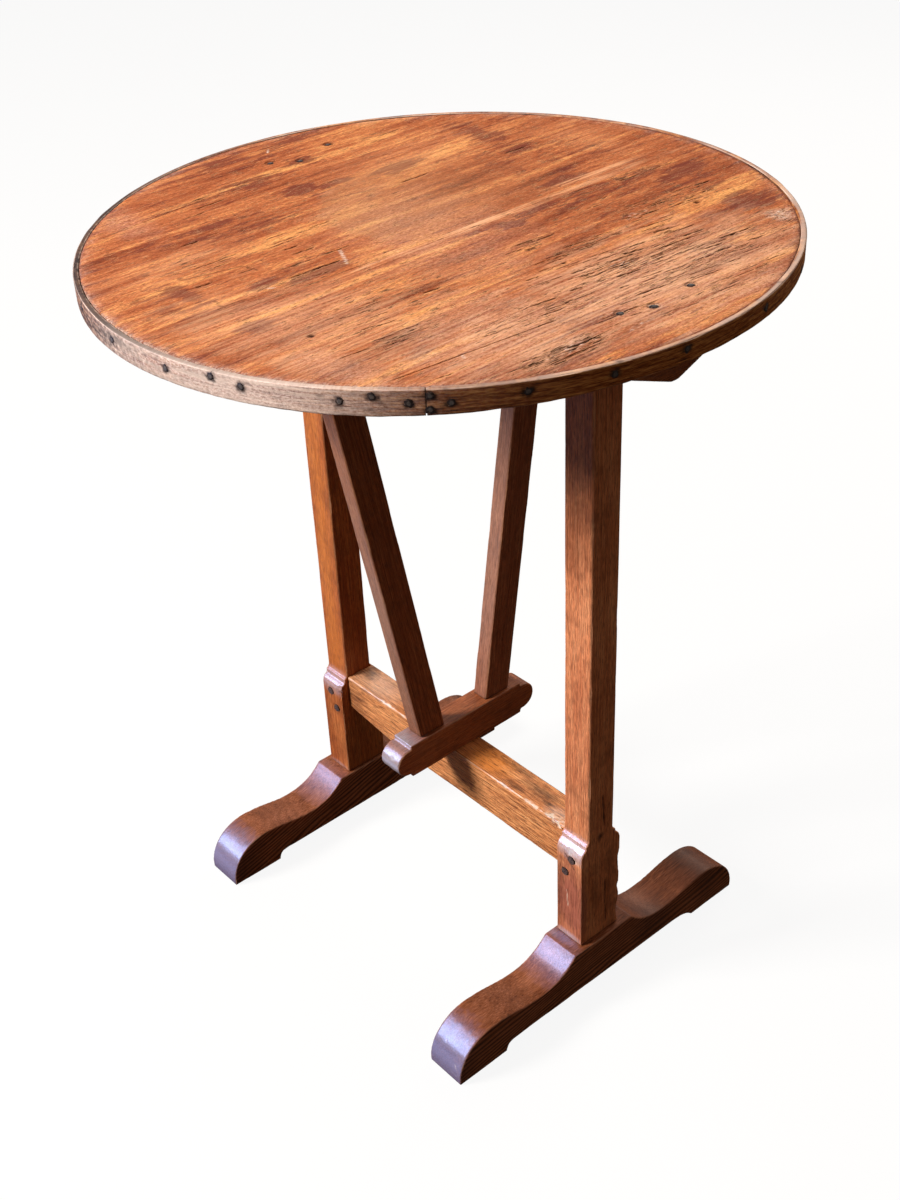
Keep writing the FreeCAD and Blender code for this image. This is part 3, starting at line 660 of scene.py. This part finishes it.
# a grid squeezed between two slanted joints and the round rim
def layBoard(number, left, right):
    look = boardLook
    reach = boardRadius / mm
    finer = look["rimColumns"] if number in (1, 4) else 1
    columns = int(min(look["mostColumns"], abs(right[0] - left[0]) / look["column"] * finer))
    rows = int(2 * reach / look["row"])
    bpy.ops.mesh.primitive_grid_add(x_subdivisions=columns, y_subdivisions=rows, size=2)
    board = bpy.context.active_object
    grid = readPoints(board.data, "co")
    u = (grid[:, 0] + 1) / 2
    column = np.rint(u * columns).astype(int)
    if number == 1:
        u = u ** look["rimCrowd"]
    if number == 4:
        u = 1 - (1 - u) ** look["rimCrowd"]
    middle = left[0] + (right[0] - left[0]) * u
    slant = left[1] + (right[1] - left[1]) * u
    root = np.sqrt(np.clip(reach ** 2 * (1 + slant ** 2) - middle ** 2, 0, None))
    y = (-middle * slant + grid[:, 1] * root) / (1 + slant ** 2)
    x = middle + slant * y
    openHere = (clamp((y - look["openFrom"]) / look["openFade"])
                * clamp((look["openTo"] - y) / look["openFade"]))
    gap = look["shut"] + (look["open"] * openHere if number > 2 else 0)
    atJoint = ((u < 1e-6) & (number > 1)) | ((u > 1 - 1e-6) & (number < 4))
    x = x + np.where(atJoint, np.where(u < 0.5, 1, -1) * gap / 2, 0)
    flat = np.stack([x, y, np.zeros(len(x))], 1) * mm
    wobble = grainNoise(flat, (14, 30, 10), 2.0) * 0.6 + grainNoise(flat, (4, 22, 10), 9.0) * 0.5
    ridges = grainNoise(flat, (3.2, 150, 10), 4.0) * 0.1 + grainNoise(flat, (9, 240, 10), 6.0) * 0.12
    sink = -ridges
    tear, highlightLip = np.zeros((2, len(x)))
    # each tear opens along one row of fibres, and steps to the next one on its way
    _, first = np.unique(column, return_index=True)
    for tx, ty, wide, length, depth, step in topTears:
        fibreAt = middle[first] + slant[first] * ty
        nearest = int(np.argmin(np.abs(fibreAt - tx)))
        if abs(fibreAt[nearest] - tx) > 1 or not 3 < nearest < columns - 4:
            continue
        near = np.nonzero(np.abs(column - nearest) < 6)[0]
        down = (y[near] - ty) / (length / 2)
        ends = clamp(2.5 * (1 - np.abs(down)))
        off = column[near] - nearest - (down > step)
        span = np.ceil(wide * clamp(1.7 * (1 - np.abs(down))))
        cut = np.where((off >= 0) & (off < span), ends, 0)
        sink[near] = np.maximum(sink[near], depth * cut)
        tear[near] = np.maximum(tear[near], clamp(0.55 + 0.45 * depth) * cut)
        # a painted highlight along the lip on one side of the tear
        highlightLip[near] = np.maximum(highlightLip[near], np.where(off == span, 0.6, 0) * ends)
    for px, py, radius, depth in topMarks["pits"]:
        away = np.hypot(x - px, (y - py) / 1.25) / radius
        cut = clamp(1.6 - 1.3 * away + 0.5 * wobble)
        sink = np.maximum(sink, depth * cut)
        tear = np.maximum(tear, 0.95 * cut)
    for nx, ny in flushNails:
        away = np.hypot(x - nx / mm, y - ny / mm)
        sink = np.maximum(sink, look["nailDepth"] * clamp((look["nailSeat"] - away) / 0.8))
        tear = np.maximum(tear, 0.6 * clamp(1.3 - np.abs(away - look["nailRing"]) / 0.7))
    grit = grainNoise(flat, (2.2, 4.0, 10), 17.0)
    crumb, torn, stain, pale, dust = (
        softSpots(x, y, topMarks[key], wobble) for key in ("crumbs", "tornZones", "stains", "pale", "dust"))
    thread = clamp(0.55 + 1.3 * grainNoise(flat, (2.4, 70, 10), 12.0))
    # the pale layer: pale threads and patches, painted light at the front and the right, and the painted highlight of
    # the lips
    pale = np.maximum(pale * thread, highlightLip)
    tear = np.maximum.reduce([tear, crumb * clamp(-3 * grit - 0.3), lineMask(x, y, topMarks["scores"], 0.55)])
    # a pale ring that fades to the rear and the right
    hx, hy, halfWidth, halfLength, strength = topMarks["haze"]
    inside = clamp(14 * (1 - np.hypot((x - hx) / halfWidth, (y - hy) / halfLength) + 0.04 * wobble))
    haze = strength * inside * clamp((170 - y) / 150) * clamp((40 - x) / 60)
    # dirt and dust that the hoop holds, most of it at the front
    rim = reach - np.hypot(x, y)
    front = clamp(1.5 - np.abs(np.degrees(np.arctan2(y, x)) + 80) / 40)
    stain = np.maximum.reduce([stain, 0.75 * np.exp(-rim / 1.6) * (0.8 + 0.5 * wobble),
                               np.where(atJoint, 0.3 * (0.5 + openHere), 0)])
    dust = np.maximum.reduce([dust, crumb * clamp(3 * grit - 0.2), lineMask(x, y, topMarks["scratches"], 0.9),
                              0.5 * front * np.exp(-rim / 3.5) * clamp(0.75 + wobble),
                              0.22 * np.exp(-np.abs(rim - 4) / 4) * clamp(0.4 + 1.5 * wobble)])
    sink = (sink + crumb * (0.4 - 0.7 * grit) + look["rimDrop"] * np.exp(-rim / 1.2)
            + np.where(atJoint, look["soft"] * (0.4 + 1.2 * openHere), 0))
    flat[:, 2] = boardTop - sink * mm
    writePoints(board.data, flat)
    paint(board.data, tear=tear, torn=torn, stain=stain, pale=pale, dust=dust, haze=haze)
    closeBoard(board)
    return board


pineMaterial = scrubbedPine()
rimLine = boardRadius / mm
walls = [(-rimLine, 0.0)] + boardLook["joints"] + [(rimLine, 0.0)]
for number in range(1, 5):
    board = layBoard(number, walls[number - 1], walls[number])
    finishPiece(board, "worn_board_%d" % number, pineMaterial, "top", "top_wood", "top_board_%d" % number)
    print("board", number, len(board.data.polygons), "faces")


# Split chestnut hoop, weathered: grey-brown streaks round the rim, bleached arrises, black iron stain at the nails;
# the grey is also a painted sheen at the front, and painted shade darkens the left
def weatheredHoop():
    material, add = newMaterial("weatheredHoop")
    spot = add("TexCoord").outputs["Object"]
    weather, bare, rust = (add("Attribute", {"attribute_name": part}).outputs["Fac"]
                           for part in ("weather", "bare", "rust"))
    parts = add("SeparateXYZ", {}, {"Vector": spot})
    turn = add("Math", {"operation": "ARCTAN2"}, {0: parts.outputs["Y"], 1: parts.outputs["X"]})
    length = add("Math", {"operation": "MULTIPLY", 1: topRadius}, {0: turn})
    strip = add("CombineXYZ", {}, {"X": length, "Y": parts.outputs["Z"]})
    # length round the rim and height in mm, then detail and roughness
    streaks, dashes, specks = (
        grainTexture(add, strip, (run, rise, 1000), (0, 0, 0), detail, rough)
        for run, rise, detail, rough in ((48, 2.6, 5, 0.65), (10, 1.1, 3, 0.65), (2.6, 1.5, 4, 0.75)))
    lined = add("Math", {"operation": "MULTIPLY_ADD", 1: 0.9}, {0: dashes, 2: streaks})
    blurred = add("Math", {"operation": "MULTIPLY", 1: 0.5}, {0: streaks})
    figure = add("Math", {"operation": "MULTIPLY_ADD", 1: 1.6}, {0: specks, 2: blurred})
    line = add("MapRange", {"From Min": 0.68, "From Max": 1.22}, {"Value": lined})
    tone = add("MapRange", {"From Min": 0.78, "From Max": 1.3}, {"Value": figure})
    brown = add("ValToRGB", {"stops": [(0.0, "#2e1206"), (0.4, "#8c4b20"), (1.0, "#dc9c5c")]}, {"Fac": line})
    greyAndSheen = add("ValToRGB", {"stops": [(0.0, "#3d2d28"), (0.42, "#c4a69f"), (1.0, "#fff2ec")]}, {"Fac": tone})
    # the grey is weathering, and a painted sheen where the front catches the light
    wood = add("Mix", {"data_type": "RGBA"}, {0: weather, 6: brown, 7: greyAndSheen})
    finishMaterial(add, {"Specular IOR Level": 0.08}, wood, [(bare, "#f3ddd0"), (rust, "#1d1412")],
                   (specks, 0.5, 0.8), (lined, 0.8, 0.5))
    return material


# the hoop, in mm and degrees: one strip bent round and butted at the front
hoopLook = {
    "butt": -42.7, "gap": 0.8, "arris": 1.0, "steps": 300,
    # by angle: how far its lower edge is off the level, how far its upper edge has worn, how grey (weathering and
    # painted sheen, most at the front), how dark (dirt and painted shade, most at the left front)
    "lower": [(-180, -0.8), (-97, -1.6), (-72, -1.1), (-54, -1.3), (-41, -0.8), (-28, 0.5), (-16, 2.1), (-1, 3.0),
              (18, 2.1), (60, 0.6), (120, -0.4), (180, -0.8)],
    "upper": [(-180, 0.4), (-130, 1.0), (-99, 1.4), (-75, 0.8), (-59, 0.2), (-46, 0.0), (90, 0.0), (180, 0.4)],
    "greyAndSheen": [(-180, 0.25), (-150, 0.3), (-125, 0.3), (-108, 0.4), (-94, 0.75), (-62, 0.95), (-53, 0.6), (-46, 0.3),
             (-38, 0.1), (-20, 0.0), (60, 0.0), (120, 0.15), (180, 0.25)],
    "dirtAndShade": [(-180, 0.4), (-140, 0.7), (-118, 0.8), (-104, 0.74), (-95, 0.6), (-84, 0.42), (-74, 0.26), (-64, 0.1),
             (-55, 0.12), (-47, 0.3), (-38, 0.3), (-26, 0.1), (160, 0.1), (180, 0.4)],
    # dark at the left front, bleached at the front and the right, the front also paler as painted light: angle,
    # spread, how full
    "zones": [(-125, 45, 1.6), (-76, 24, 1.5), (20, 50, 1.5)],
    # how far in the outer half, the outer face, the lining of the top edge and the inner face lie
    "outer": 2.6, "face": 1.2, "lining": 3.6, "inner": 4.6, "edge": 3.0,
    "nailStain": 3.3, "buttStain": 1.2,
}


# cuts up the edges that are longer than a size in mm
def splitLonger(piece, longer, cuts):
    bpy.ops.object.mode_set(mode="EDIT")
    bpy.ops.mesh.select_mode(type="EDGE")
    shutMesh()
    for edge in piece.data.edges:
        ends = [piece.data.vertices[i].co for i in edge.vertices]
        edge.select = (ends[0] - ends[1]).length > longer * mm
    bpy.ops.object.mode_set(mode="EDIT")
    bpy.ops.mesh.subdivide(number_cuts=cuts)
    bpy.ops.mesh.select_mode(type="VERT")
    shutMesh()


def bendHoop():
    low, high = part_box("rim_band")
    thick = hoopThick * mm
    bpy.ops.mesh.primitive_plane_add(size=1, rotation=(math.pi / 2, 0, 0),
                                     location=(topRadius - thick / 2, 0, (low.z + high.z) / 2))
    hoop = bpy.context.active_object
    hoop.scale = (thick, high.z - low.z, 1)
    bpy.ops.object.transform_apply(location=True, rotation=True, scale=True)
    openMesh("SELECT")
    bpy.ops.mesh.bevel(offset=hoopLook["arris"] * mm, segments=3, affect="VERTICES")
    bpy.ops.mesh.select_all(action="SELECT")
    bpy.ops.mesh.delete(type="ONLY_FACE")
    shutMesh()
    splitLonger(hoop, 6, 13)     # the broad sides
    splitLonger(hoop, 2, 3)     # the thin ones
    openMesh("SELECT")
    gapTurn = hoopLook["gap"] * mm / topRadius
    bpy.ops.mesh.spin(steps=hoopLook["steps"], angle=2 * math.pi - gapTurn, center=(0, 0, 0), axis=(0, 0, 1))
    shutMesh()
    splitLonger(hoop, 4, 3)     # the steps of the spin
    openMesh("DESELECT")
    bpy.ops.mesh.select_non_manifold()
    bpy.ops.mesh.fill_holes(sides=0)
    bpy.ops.mesh.select_all(action="SELECT")
    bpy.ops.mesh.normals_make_consistent(inside=False)
    shutMesh()
    hoop.data.transform(Matrix.Rotation(math.radians(hoopLook["butt"]) + gapTurn / 2, 4, "Z"))
    return hoop


def wearHoop(hoop):
    mesh = hoop.data
    place = readPoints(mesh, "co")
    normal = readPoints(mesh, "normal")
    low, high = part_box("rim_band")
    radius = np.hypot(place[:, 0], place[:, 1])
    turn = np.arctan2(place[:, 1], place[:, 0])
    strip = np.stack([turn * topRadius, place[:, 2], radius], 1)
    degrees = np.degrees(turn)
    lower, worn, greyAndSheen, dirtAndShade = (np.interp(degrees, *zip(*hoopLook[key]))
                               for key in ("lower", "upper", "greyAndSheen", "dirtAndShade"))
    leftFront, frontPaleAndLit, rightPale = (clamp(full - np.abs(degrees - middle) / spread)
                                       for middle, spread, full in hoopLook["zones"])
    share = clamp((place[:, 2] - low.z) / (high.z - low.z))
    nibble = clamp(0.45 + grainNoise(strip, (22, 4, 4), 3.0))
    fibre = grainNoise(strip, (50, 1.6, 3), 5.0)
    wave = grainNoise(strip, (90, 60, 60), 8.0)
    ragged = grainNoise(strip, (9, 30, 30), 14.0)
    fleck = grainNoise(strip, (3.4, 2.6, 3), 27.0)
    arris = arrisMask(np.abs(normal[:, 2]), 0.1)
    inward = (topRadius - radius) / mm
    upper = place[:, 2] > high.z - hoopLook["edge"] * mm
    depth = 0.16 * fibre + arris * np.where(upper, 0.1 + 0.7 * nibble ** 2, 0.5 * nibble ** 2)
    # bleached: the arrises and the top edge, and the front of the outer face, which is also painted light
    edgePale = np.where(upper & (inward < hoopLook["outer"]), arris * (0.6 + 0.6 * nibble), arris * 0.4 * nibble)
    flatTop = upper & (normal[:, 2] > 0.8)
    lining = flatTop & (inward > hoopLook["lining"])
    facePaleAndLit = np.where(flatTop, 0.1 + 0.6 * frontPaleAndLit + 0.35 * rightPale + 0.3 * fibre, 0)
    facePaleAndLit = np.where(~flatTop & (inward < hoopLook["face"]),
                        frontPaleAndLit * np.clip(0.42 + 0.9 * fibre, 0, 0.8), facePaleAndLit)
    facePaleAndLit = np.where(lining, clamp(0.2 + 0.5 * leftFront + 0.9 * fibre), facePaleAndLit)
    # black: dirt and painted shade by angle, patches, stains round the nails, the inner face and the butt
    fromButt = np.radians(np.abs((degrees - hoopLook["butt"] + 180) % 360 - 180)) * topRadius / mm
    rust = np.maximum.reduce([
        dirtAndShade * np.clip(0.9 + 0.8 * fibre + 0.8 * fleck, 0, 1.3) * clamp(1.1 - edgePale),
        0.55 * clamp(2.4 * grainNoise(strip, (11, 4, 7), 21.0) - 0.9 + 1.2 * fleck),
        np.where(inward > hoopLook["inner"], clamp(0.45 + 0.8 * fibre), 0),
        np.where(flatTop & ~lining, 0.75 * leftFront + 0.08, 0),
        0.8 * np.exp(-fromButt / hoopLook["buttStain"])])
    for angle, z in hoopNails:
        along = (turn - angle + math.pi) % (2 * math.pi) - math.pi
        away = np.hypot(along * topRadius / mm, 1.3 * (place[:, 2] - z) / mm)
        rust = np.maximum(rust, 0.9 * clamp(2.0 - away / hoopLook["nailStain"] + 0.9 * fleck))
    shaped = place - normal * depth[:, None] * mm
    shaped[:, 2] += ((1 - share) * (lower + 0.35 * ragged) - share * worn) * mm
    writePoints(mesh, shaped)
    # the grey layer is weathering and painted sheen; the dark layer is stains, dirt and painted shade
    paint(mesh, weather=greyAndSheen * (0.85 + 0.35 * wave), rust=np.clip(rust, 0, 0.95), bare=np.maximum(edgePale, facePaleAndLit))
    selectOnly(hoop)
    bpy.ops.object.shade_smooth_by_angle(angle=math.radians(40))


hoop = bendHoop()
wearHoop(hoop)
finishPiece(hoop, "bent_hoop", weatheredHoop(), "top", "hoop_wood", "rim_band")
print("hoop:", len(hoop.data.polygons), "faces")


# Oak pegs driven through and trimmed: dark end grain with small open pores
def pegEndGrain():
    material, add = newMaterial("pegEndGrain")
    spot = add("TexCoord").outputs["Object"]
    cells = add("TexVoronoi", {"Scale": 1 / (0.9 * mm)}, {"Vector": spot})
    mottle = add("TexNoise", {"Scale": 1 / (3 * mm), "Detail": 3}, {"Vector": spot})
    mixed = add("Math", {"operation": "MULTIPLY"}, {0: cells, 1: mottle})
    colour = add("ValToRGB", {"stops": [(0.05, "#1f1411"), (0.3, "#423029"), (0.6, "#6e5a50")]}, {"Fac": mixed})
    finishMaterial(add, {"Specular IOR Level": 0.3}, colour, [], (mottle, 0.4, 0.7), (mixed, 0.5, 0.3))
    return material


pegMaterial = pegEndGrain()
for nodeName in ("stretcher_pegs", "left_tilt_pin", "right_tilt_pin", "gate_pivot_pin"):
    nodes[nodeName].data.materials.clear()
    nodes[nodeName].data.materials.append(pegMaterial)
print("pegs and pins finished")


# Studio: pale floor that keeps a soft shadow and glows to reflections as a painted reflection, a window-like lamp
# from the front left, a blue-white card that only the wax mirrors, a weak lamp behind, and a warm fill from the sky
studio = {
    "floor": 14.0, "floorColour": "#e9e8e6", "floorBounce": "#3d332b", "ownLight": 0.91, "aim": (0, 0, 0.42),
    "frontSheen": "#a9bdf0", "rearSheen": "#241a13", "sheenPower": 2.0, "sky": 0.2, "skyColour": "#ffe4c8",
    # where, along Y in metres, the floor's glowing pool begins and ends: a painted reflection that the wax mirrors
    "poolNear": (-0.185, -0.22), "poolFar": (-0.55, -0.35),
}
# degrees, metres and watts
lamps = {
    "window_lamp": {"turn": -117.0, "rise": 32.5, "away": 4.0, "size": (1.05, 1.05), "power": 290.0,
                    "colour": "#fffaf4", "glossy": False},
    "sheen_card": {"turn": -125.0, "rise": 27.0, "away": 2.3, "size": (1.3, 2.0), "power": 185.0,
                   "colour": "#adc4fe", "diffuse": False},
    "back_lamp": {"turn": 106.0, "rise": 32.0, "away": 3.0, "size": (1.6, 1.6), "power": 45.0,
                  "colour": "#fff0e0"},
}


def areaLamp(name, look):
    turn, rise = math.radians(look["turn"]), math.radians(look["rise"])
    ray = Vector((math.cos(rise) * math.cos(turn), math.cos(rise) * math.sin(turn), math.sin(rise)))
    bpy.ops.object.light_add(type="AREA", location=Vector(studio["aim"]) + look["away"] * ray)
    lamp = bpy.context.active_object
    lamp.name = name
    lamp.rotation_euler = ray.to_track_quat("Z", "Y").to_euler()
    lamp.data.shape = "RECTANGLE"
    lamp.data.size, lamp.data.size_y = look["size"]
    lamp.data.energy = look["power"]
    lamp.data.color = hexColour(look["colour"])[:3]
    lamp.visible_glossy = look.get("glossy", True)
    lamp.visible_diffuse = look.get("diffuse", True)


# white to the camera, dim to the light that it throws back, and to reflections it glows: a painted bright bluish pool
# in front for the wax to mirror, a dim warm glow elsewhere
def layFloor():
    bpy.ops.mesh.primitive_plane_add(size=studio["floor"], location=(0, 0, -0.3 * mm))
    floor = bpy.context.active_object
    floor.name = "pale_floor"
    material, add = newMaterial("paleFloorPaint")
    path = add("LightPath")
    shown = add("Math", {"operation": "MAXIMUM"},
                {0: path.outputs["Is Camera Ray"], 1: path.outputs["Is Transmission Ray"]})
    dark = add("BsdfDiffuse", {"Color": hexColour(studio["floorBounce"])})
    matt = add("BsdfDiffuse", {"Color": hexColour(studio["floorColour"])})
    glow = add("Emission", {"Color": hexColour("#ffffff"), "Strength": 1.0})
    pale = add("MixShader", {0: studio["ownLight"]}, {1: matt, 2: glow})
    spot = add("TexCoord").outputs["Object"]
    parts = add("SeparateXYZ", {}, {"Vector": spot})
    front, fade = (add("MapRange", {"From Min": start, "From Max": end}, {"Value": parts.outputs["Y"]})
                   for start, end in (studio["poolNear"], studio["poolFar"]))
    pool = add("Math", {"operation": "MULTIPLY"}, {0: front, 1: fade})
    # the glow that only reflections see: a painted reflection, bluish in the pool and dim warm behind
    reflectedGlowColour = add("Mix", {"data_type": "RGBA", 6: hexColour(studio["rearSheen"]),
                           7: hexColour(studio["frontSheen"])}, {0: pool})
    reflectedGlow = add("Emission", {"Strength": studio["sheenPower"]}, {"Color": reflectedGlowColour})
    unseen = add("MixShader", {}, {0: path.outputs["Is Glossy Ray"], 1: dark, 2: reflectedGlow})
    mixed = add("MixShader", {}, {0: shown, 1: unseen, 2: pale})
    add("OutputMaterial", {}, {"Surface": mixed})
    floor.data.materials.append(material)


# white where the camera or a mirror sees it, and a weak warm fill for the rest
def paintSky():
    world = bpy.data.worlds.new("studioSky")
    bpy.context.scene.world = world
    world.use_nodes = True
    world.node_tree.nodes.clear()
    add = partial(addNode, world.node_tree)
    path = add("LightPath")
    seen = add("Math", {"operation": "ADD"},
               {0: path.outputs["Is Camera Ray"], 1: path.outputs["Is Glossy Ray"]})
    shown = add("Math", {"operation": "ADD", "use_clamp": True},
                {0: seen, 1: path.outputs["Is Transmission Ray"]})
    fill = [studio["sky"] * c for c in hexColour(studio["skyColour"])[:3]] + [1]
    colour = add("Mix", {"data_type": "RGBA", 6: fill, 7: hexColour("#ffffff")}, {0: shown})
    sky = add("Background", {}, {"Color": colour})
    add("OutputWorld", {}, {"Surface": sky})


# the photograph's camera: mm and degrees, with the lens and the picture centre in pixels
eye = {"place": (936.57, -791.58, 1190.31), "yaw": 52.22, "pitch": -34.85, "roll": -4.14,
       "focus": 1584.91, "centre": (399.34, 619.28), "frame": (900, 1200), "sensor": 36.0}


def placeCamera():
    yaw, pitch, roll = (math.radians(eye[k]) for k in ("yaw", "pitch", "roll"))
    bpy.ops.object.camera_add()
    camera = bpy.context.active_object
    camera.name = "photo_camera"
    turn = (Matrix.Rotation(yaw, 4, "Z") @ Matrix.Rotation(math.pi / 2 + pitch, 4, "X")
            @ Matrix.Rotation(roll, 4, "Z"))
    camera.matrix_world = Matrix.Translation(Vector(eye["place"]) * mm) @ turn
    width, height = eye["frame"]
    camera.data.sensor_width = eye["sensor"]
    camera.data.lens = eye["focus"] / height * eye["sensor"]
    camera.data.shift_x = (width / 2 - eye["centre"][0]) / height
    camera.data.shift_y = (eye["centre"][1] - height / 2) / height
    camera.data.clip_end = 100
    bpy.context.scene.camera = camera


layFloor()
for name, look in lamps.items():
    areaLamp(name, look)
paintSky()
placeCamera()
bpy.context.scene.view_settings.view_transform = "Standard"
print("studio and camera set")
